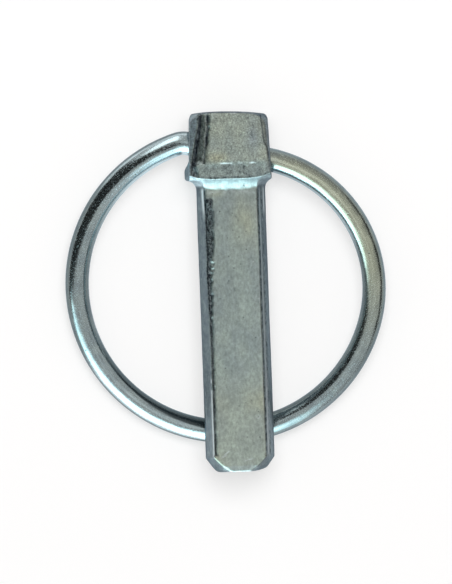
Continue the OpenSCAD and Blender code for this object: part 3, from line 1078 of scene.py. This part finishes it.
CUTS = (  # from x, y to x, y, width, depth
    (2.86, -11.5, 3.4, -12.5, 0.08, 0.08), (3.1, -11.4, 3.0, -12.2, 0.07, 0.05),
    (-2.74, -39.9, -1.47, -39.1, 0.07, 0.06), (-2.4, -39.2, -1.9, -38.9, 0.06, 0.04),
    (0.6, -40.4, 2.2, -40.1, 0.07, 0.05))
for cut in CUTS:
    dents = dents + scratch(*cut)
FRESH_CUTS = ((-2.74, -39.9, -1.9, -39.5), (-2.3, -39.5, -1.5, -38.9), (0.6, -40.4, 1.9, -40.1))
# A painted glint along three fresh cuts.
fresh_cut_glints = 0.7 * sum(scratch(*cut, 0.07, 1.0) for cut in FRESH_CUTS)
KNOCKS = ((-1.5, 0.4), (1.15, 1.85), (2.8, 3.8))
knocks = sum(span(x, start, start + 0.1, end - 0.1, end) for start, end in KNOCKS)
knocks = knocks * (0.4 + 0.6 * ease(unevenness(soft, (0.4, 3, 3), 16), 0.25, 0.55))
tipped = ease(y, RIDGE_Y + 0.02, RIDGE_Y - 0.14) * ease(y, RIDGE_Y - 0.6, RIDGE_Y - 0.2)
dents = dents + 0.05 * knocks * tipped * (z > 3)
print("cuts:", len(CUTS), "knocks:", len(KNOCKS))

# %% [markdown]
# The dents are measured along the way the surface faces. The hole for the ring keeps its
# exact size, so that the wire still fits, and nothing is allowed to stand proud.

# %% Pushing the relief in
dents = np.where(in_hole, 0.0, np.maximum(dents, 0))
worked = soft - soft_normals * dents[:, None]
print("relief: up to", round(float(dents.max()), 2), "mm deep")

# %% [markdown]
# ## Bright worn edges
# Where the pin rubs on its hole and its neighbours the plating is polished or gone, and
# the edge shines. A point that stands above the mean of its neighbours is on an edge, so
# the worked skin itself says where wear belongs. Dark places and crisp rims are left out.

# %% Wear on the edges
worked_normals = facing(worked)
standing_out = ((worked - neighbours_mean(worked)) * worked_normals).sum(axis=1)
wear_and_glints = 0.6 * ease(standing_out, 0.014, 0.035)
wear_and_glints *= ease(unevenness(soft, (0.4, 0.8, 0.4), 9), 0.3, 0.7)
left_side = (x < 0) * (y < 9) * (y > -40)
above_rim = (np.abs(y - rim_y - 0.25) < 0.45) * (z > 3)
tip_middle = ease(np.abs(x), 2.6, 1.9) * (y < -40)
wear_and_glints *= (1 - left_side) * (1 - torn_dirt_and_shade) * (1 - above_rim) * (1 - 0.85 * tip_middle)
print("edge wear:", round(float(wear_and_glints.mean()), 4))

# %% [markdown]
# Other bright marks are painted highlights and glints in their own places: bits along the tip's end
# and the head's top, the knocks on the ridge, light streaks on both sides just under the head, a
# border below the hollow, glints beside the lower part of the torn strip, and a thin light line
# between the two dark ones on the right.

# %% Bright marks
# Painted highlights and glints, all in the worn-steel colour.
tip_glints = ease(y, -41.82, -41.92) * ease(np.abs(x + 0.2), 2.0, 1.6) * (z > 0)
tip_glints *= 0.4 + 0.6 * ease(unevenness(soft, (0.5, 3, 3), 19), 0.3, 0.6)
top_glints = ease(unevenness(soft, (0.45, 0.3, 3), 26), 0.55, 0.75) * hill(y, 9.5, 0.12) * (z > 4)
knock_glints = knocks * hill(y, RIDGE_Y - 0.06, 0.10) * (z > 3)
left_highlight = hill(x, -4.1, 0.18) * span(y, -6.0, -3.5, -1.5, -0.9) * (z > 0)
right_highlight = hill(x, 4.7, 0.08) * span(y, -5.5, -4.0, -1.5, -0.9) * (z > 0)
border_highlight = hill(y, -1.75, 0.22) * front * (np.abs(x) < 3.6)
border_highlight *= ease(unevenness(soft, (0.45, 0.4, 0.5), 21), 0.3, 0.7)
strip_glints = hill(x, -3.78, 0.14) * ease(y, -21, -27) * ease(y, -40, -39.5) * (z > 0)
strip_glints *= ease(unevenness(soft, (3, 0.8, 3), 17) + 0.5 * ease(y, -28, -36), 0.45, 0.7)
light_line = hill(x, 4.16, 0.08) * span(y, *LINE_ENDS) * (z > 0)
# Real edge wear and the painted highlights and glints share one mask.
wear_and_glints = np.maximum.reduce([
    wear_and_glints, tip_glints, fresh_cut_glints, 0.55 * top_glints, knock_glints, left_highlight, 0.8 * right_highlight,
    0.35 * border_highlight, strip_glints, 0.4 * light_line])
print("worn share:", round(float(wear_and_glints.mean()), 4))

# %% [markdown]
# ## The pin as a piece
# The masks are stored on the points and the skin goes back to metres. Then the mesh
# becomes a piece like the ring: it rides on the pin's body and stands for the solid pin.

# %% The pin as a piece
pin_mesh.name = "forged_pin"
pin_mesh.materials.append(pin_finish)
store_masks(pin_mesh, {"pressed": pressed, "torn_dirt_and_shade": torn_dirt_and_shade, "bare": bare, "wear_and_glints": wear_and_glints,
                       "warm": yellow, "painted_highlight": painted_highlight, "gritty": gritty})
pin_mesh.vertices.foreach_set("co", (worked * MM).ravel())
pin_mesh.update()
pin_piece = piece("forged_pin", pin_mesh, "pin", "pin")
print("piece:", pin_piece.name, "with", len(pin_mesh.polygons), "faces")

# %% [markdown]
# ## The table
# The pin lies on a white table, on the back of its head and on the far side of its ring,
# so the table's plane is the one that touches both. The pin is kept level, and the table
# slopes by a few degrees instead. One flat face is enough, since only its colour and the
# shadow on it show.

# %% The table
def resting_plane():
    """The slope and height of the plane under the head and the ring."""
    head, far = worked[np.argmin(worked[:, 2])], spots[np.argmin(spots[:, 2])]
    slope = (head[2] - far[2]) / (head[1] - far[1])
    both = np.vstack([worked, spots])
    return slope, float((both[:, 2] - slope * both[:, 1]).min())


def flat_sheet(name, corners):
    """A mesh of one flat face with these corners, in metres."""
    mesh = bpy.data.meshes.new(name)
    mesh.from_pydata(corners, [], [tuple(range(len(corners)))])
    return mesh


TABLE_HALF = 1.5
FOUR_CORNERS = ((-1, -1), (1, -1), (1, 1), (-1, 1))
slope, height = resting_plane()
corners = [(sx * TABLE_HALF, sy * TABLE_HALF, sy * TABLE_HALF * slope + height * MM)
           for sx, sy in FOUR_CORNERS]
table_mesh = flat_sheet("table", corners)
table = shown("table", table_mesh)
print("table: slope", round(math.degrees(math.atan(slope)), 2), "degrees, height",
      round(height, 2), "mm")

# %% [markdown]
# A white board alone would look grey wherever less light falls on it. So where the camera
# or the metal sees the table, a share of its white is its own light. The rest is a plain
# board, which takes the shadow.

# %% The table's finish
BOARD, OWN_LIGHT = (0.95, 0.95, 0.95, 1), 0.55


def emptied_material(name):
    """A new material with an empty tree."""
    made = bpy.data.materials.new(name)
    made.use_nodes = True
    made.node_tree.nodes.clear()
    return made, made.node_tree


def mixed_surface(tree, amount, first, second):
    """Ends a tree with a mix of two shaders."""
    mixed = add(tree, "ShaderNodeMixShader", None, {0: amount, 1: first, 2: second})
    tree.links.new(mixed.outputs[0], add(tree, "ShaderNodeOutputMaterial").inputs["Surface"])


def table_finish():
    """White, with a share of its own light for what the camera and the metal see of it."""
    made, tree = emptied_material("white table")
    rays = add(tree, "ShaderNodeLightPath").outputs
    mirrored = maths(tree, "MAXIMUM", rays["Is Glossy Ray"], rays["Is Transmission Ray"])
    seen = maths(tree, "MAXIMUM", rays["Is Camera Ray"], mirrored)
    board = add(tree, "ShaderNodeBsdfDiffuse", None, {"Color": BOARD})
    glow = add(tree, "ShaderNodeEmission", None, {"Color": WHITE, "Strength": 1.0})
    share = maths(tree, "MULTIPLY", seen, OWN_LIGHT)
    mixed_surface(tree, share, board.outputs[0], glow.outputs[0])
    return made


table_mesh.materials.append(table_finish())
print("table: own light", OWN_LIGHT)

# %% [markdown]
# ## The lamps
# Zinc shows what stands round it, so lamps matter for their shapes as much as for their
# light. One set of lamps can't give both the metal its long highlights and the table its
# soft shadow, so each lamp lights only one of the two. A lamp is placed by two angles: its
# azimuth, counted from the right, and its tilt from straight up.

# %% Lamps
TARGET = (0, -16, 0)


def aimed(thing, azimuth, tilt, distance, roll=0.0):
    """Puts a lamp or card in a direction, at a distance, facing the part."""
    azimuth, tilt = math.radians(azimuth), math.radians(tilt)
    way = Vector((math.sin(tilt) * math.cos(azimuth), math.sin(tilt) * math.sin(azimuth),
                  math.cos(tilt)))
    thing.location = Vector(TARGET) * MM + way * distance
    turn = Quaternion((0, 0, 1), math.radians(roll))
    thing.rotation_euler = (way.to_track_quat("Z", "Y") @ turn).to_euler()
    return thing


def soft_lamp(name, azimuth, tilt, distance, size, radiance, colour, roll=0.0, lights="metal"):
    """A soft lamp, width by height, that lights only the metal or only the table."""
    light = bpy.data.lights.new(name, "AREA")
    light.shape = "RECTANGLE"
    light.size, light.size_y = size
    light.energy = radiance * math.pi * size[0] * size[1]
    light.color = colour
    made = shown(name, light)
    made.visible_camera = False
    made.visible_diffuse, made.visible_glossy = lights == "table", lights == "metal"
    return aimed(made, azimuth, tilt, distance, roll)


print("lamps: aimed at", TARGET, "mm")

# %% [markdown]
# ## The cards
# Metal looks like metal only where it mirrors something bright beside something dark. The
# dark cards are flat and grey and are placed by their corners, since their edges show. The
# bright one is a glowing sheet and not a lamp, because a lamp can't fade out at its ends
# and its image in the wire would stop short. Only the metal sees the cards.

# %% Cards
def only_in_metal(made):
    """Hides a card from everything but the reflections in the metal."""
    made.visible_camera = made.visible_diffuse = made.visible_shadow = False
    return made


def card(name, corners, grey):
    """A flat card of the given grey with its corners in millimetres."""
    mesh = flat_sheet(name, [tuple(value * MM for value in corner) for corner in corners])
    material = bpy.data.materials.new(name)
    material.use_nodes = True
    shader = material.node_tree.nodes["Principled BSDF"]
    shader.inputs["Base Color"].default_value = (grey, grey, grey, 1)
    shader.inputs["Specular IOR Level"].default_value = 0.0
    mesh.materials.append(material)
    return only_in_metal(shown(name, mesh))


def glow_card(name, azimuth, tilt, distance, size, colour, roll=0.0):
    """A glowing sheet that fades out towards its top and its two ends."""
    width, height = size
    mesh = flat_sheet(name, [(sx * width / 2, sy * height / 2, 0) for sx, sy in FOUR_CORNERS])
    material, tree = emptied_material(name)
    on_sheet = add(tree, "ShaderNodeTexCoord").outputs["Object"]
    place = add(tree, "ShaderNodeSeparateXYZ", None, {0: on_sheet}).outputs
    left = ramp(tree, place[0], -width * 0.5, -width * 0.42)
    right = ramp(tree, place[0], width * 0.14, width * 0.44, 1.0, 0.0)
    top = ramp(tree, place[1], height * 0.25, height * 0.5, 1.0, 0.0)
    amount = maths(tree, "MULTIPLY", maths(tree, "MULTIPLY", left, right), top)
    clear = add(tree, "ShaderNodeBsdfTransparent")
    glow = add(tree, "ShaderNodeEmission", None, {"Color": (*colour, 1), "Strength": 1.0})
    mixed_surface(tree, amount, clear.outputs[0], glow.outputs[0])
    mesh.materials.append(material)
    return only_in_metal(aimed(shown(name, mesh), azimuth, tilt, distance, roll))


print("cards: ready")

# %% [markdown]
# ## Setting up the studio
# A large low window beyond the tip gives the long bright band on the wire and the light in
# the hollow. A weak lamp overhead lifts the flats, and a strip beyond the head reaches the
# slopes that face it. A dark card close on the left puts the dark lines into the slopes
# that face left, and a far wall on the right deepens the right sides. The world fills in a
# slightly warm grey wherever nothing else stands. Sizes are in metres, except the corners
# of the two dark cards, which are in millimetres.

# %% The studio
NEAR_CARD = [(-14, 12, 100), (-15, -22, 100), (-175, -52, 12), (-125, 115, 12)]
RIGHT_WALL = [(500, -330, 5), (500, 330, 5), (500, 330, 230), (500, -330, 230)]
WORLD_COLOUR, WORLD_STRENGTH = (1.0, 0.97, 0.95, 1), 0.48
glow_card("window", 250, 76, 0.42, (0.96, 0.80), (2.2, 2.9, 3.0), roll=18)
soft_lamp("overhead", 60, 8, 0.80, (0.40, 0.40), 0.25, (1.0, 1.0, 1.0))
soft_lamp("strip", 114, 58, 0.50, (0.15, 0.40), 1.4, (0.95, 1.0, 1.0), roll=-20)
soft_lamp("table lamp", 75, 12, 0.80, (0.40, 0.40), 8.5, (1.0, 1.0, 1.0), lights="table")
card("near card", NEAR_CARD, 0.03)
card("right wall", RIGHT_WALL, 0.10)

world = bpy.data.worlds.new("studio")
bpy.context.scene.world = world
world.use_nodes = True
sky = world.node_tree.nodes["Background"]
sky.inputs["Color"].default_value = WORLD_COLOUR
sky.inputs["Strength"].default_value = WORLD_STRENGTH
print("studio:", len(bpy.data.lights), "lamps")

# %% [markdown]
# ## The camera
# It looks straight down on the front of the pin, from far enough off that the ring keeps
# its shape, and is turned by two degrees because the pin lies slightly askew.

# %% Camera
VIEW_HEIGHT, DISTANCE, SENSOR = 84.03 * MM, 1.5, 24
camera_data = bpy.data.cameras.new("camera")
camera_data.sensor_fit, camera_data.sensor_height = "VERTICAL", SENSOR
camera_data.lens = SENSOR * DISTANCE / VIEW_HEIGHT
camera = shown("camera", camera_data)
camera.location = (-1.195 * MM, -16.083 * MM, DISTANCE)
camera.rotation_euler = (0, 0, math.radians(-2.05))
bpy.context.scene.camera = camera
bpy.context.scene.view_settings.view_transform = "Standard"
print("camera: lens", round(camera_data.lens), "mm")
